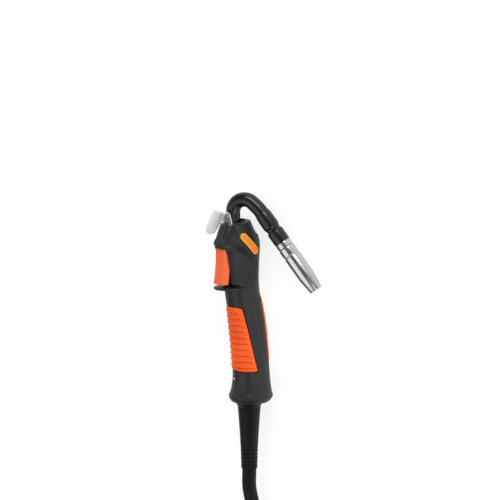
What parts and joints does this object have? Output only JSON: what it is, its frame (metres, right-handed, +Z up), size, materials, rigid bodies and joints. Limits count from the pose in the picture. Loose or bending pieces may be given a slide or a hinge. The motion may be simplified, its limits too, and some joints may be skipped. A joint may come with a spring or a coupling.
{
  "type": "mig welding torch",
  "caption": "Hand-held MIG welding torch: ribbed pistol-style handle with trigger, swan neck and gas nozzle, hanging hook, coaxial cable in a coil, and a central connector.",
  "frame": {"origin": "centre of the torch's box (without its cable) at the bench it lies on", "axes": "+Y from the cable end to the neck end of the handle, +Z up from the bench, +X to the side the nozzle points to"},
  "size_m": [0.2226, 0.5972, 0.0578],
  "materials": {
    "shell_black": "fine moulded texture",
    "gloss_black": "glossy",
    "rubber_black": "satin",
    "orange_grip": "satin",
    "orange_trigger": "satin",
    "orange_badge": "satin",
    "steel_bright": "polished",
    "nickel_satin": "satin",
    "brass": "machined",
    "copper": "machined",
    "wire_white": "satin",
    "wire_red": "satin"
  },
  "bodies": {
    "handle": {"left_shell": "shell_black", "right_shell": "shell_black", "front_grip": "orange_grip", "back_grip": "orange_grip", "left_badge": "orange_badge", "right_badge": "orange_badge", "hook": "steel_bright", "neck_socket": "brass", "ball_seat": "rubber_black", "inner_cable": "rubber_black", "switch_body": "gloss_black", "switch_wire_white": "wire_white", "switch_wire_red": "wire_red", "shell_screw_rear": "steel_bright", "shell_screw_middle": "steel_bright", "shell_screw_head": "steel_bright", "front_stud": "steel_bright", "trigger_pin": "steel_bright"},
    "trigger_body": {"trigger": "orange_trigger", "trigger_spring": "steel_bright"},
    "plunger": {"switch_plunger": "gloss_black"},
    "neck": {"neck_cover": "gloss_black", "neck_tube": "brass", "neck_sleeve": "gloss_black", "neck_insulator": "gloss_black", "nozzle_seat": "nickel_satin", "tip_holder": "brass", "nozzle_spring": "steel_bright", "contact_tip": "copper"},
    "nozzle": {"gas_nozzle": "nickel_satin"},
    "cable": {"cable_support": "rubber_black", "cable_lead": "rubber_black", "cable_coil": "rubber_black", "coil_tie": "shell_black", "cable_tail": "rubber_black", "rear_support": "rubber_black", "plug_housing": "shell_black", "plug_body": "brass", "wire_inlet": "brass", "inlet_seal": "rubber_black", "gas_nipple": "brass"},
    "union_nut": {"plug_nut": "shell_black"},
    "pin_one": {"control_pin_1": "brass"},
    "pin_two": {"control_pin_2": "brass"}
  },
  "joints": [
    {"name": "trigger_pull", "type": "hinge", "parent": "handle", "child": "trigger_body", "pos_m": [-0.03868, 0.05194, 0.03769], "axis": [0.9379, 0.034, 0.3453], "range_deg": [0, 4.5], "stiffness_Nm_per_rad": 0.9, "springref_deg": -2.86},
    {"name": "switch_press", "type": "slide", "parent": "handle", "child": "plunger", "axis": [0.3469, -0.0918, -0.9334], "range_m": [0, 0.00186]},
    {"name": "neck_swivel", "type": "hinge", "parent": "handle", "child": "neck", "pos_m": [-0.0356, 0.07799, 0.02674], "axis": [0, 0.9952, -0.0979], "range_deg": [-35, 110]},
    {"name": "nozzle_pull", "type": "slide", "parent": "neck", "child": "nozzle", "axis": [0.5724, -0.8147, -0.0924], "range_m": [0, 0.06]},
    {"name": "cable_swing", "type": "hinge", "parent": "handle", "child": "cable", "pos_m": [-0.02845, -0.10403, 0.02524], "axis": [0, 0, 1], "range_deg": [-10, 10]},
    {"name": "nut_turn", "type": "hinge", "parent": "cable", "child": "union_nut", "pos_m": [0.13596, -0.46403, 0.0203], "axis": [1, 0, 0], "continuous": true},
    {"name": "pin_press_1", "type": "slide", "parent": "cable", "child": "pin_one", "axis": [-1, 0, 0], "range_m": [0, 0.003], "stiffness_N_per_m": 300, "springref_m": -0.001},
    {"name": "pin_press_2", "type": "slide", "parent": "cable", "child": "pin_two", "axis": [-1, 0, 0], "range_m": [0, 0.003], "stiffness_N_per_m": 300, "springref_m": -0.001}
  ],
  "couplings": [
    {"joint": "switch_press", "follows": "trigger_pull", "m_per_rad": 0.0235}
  ]
}
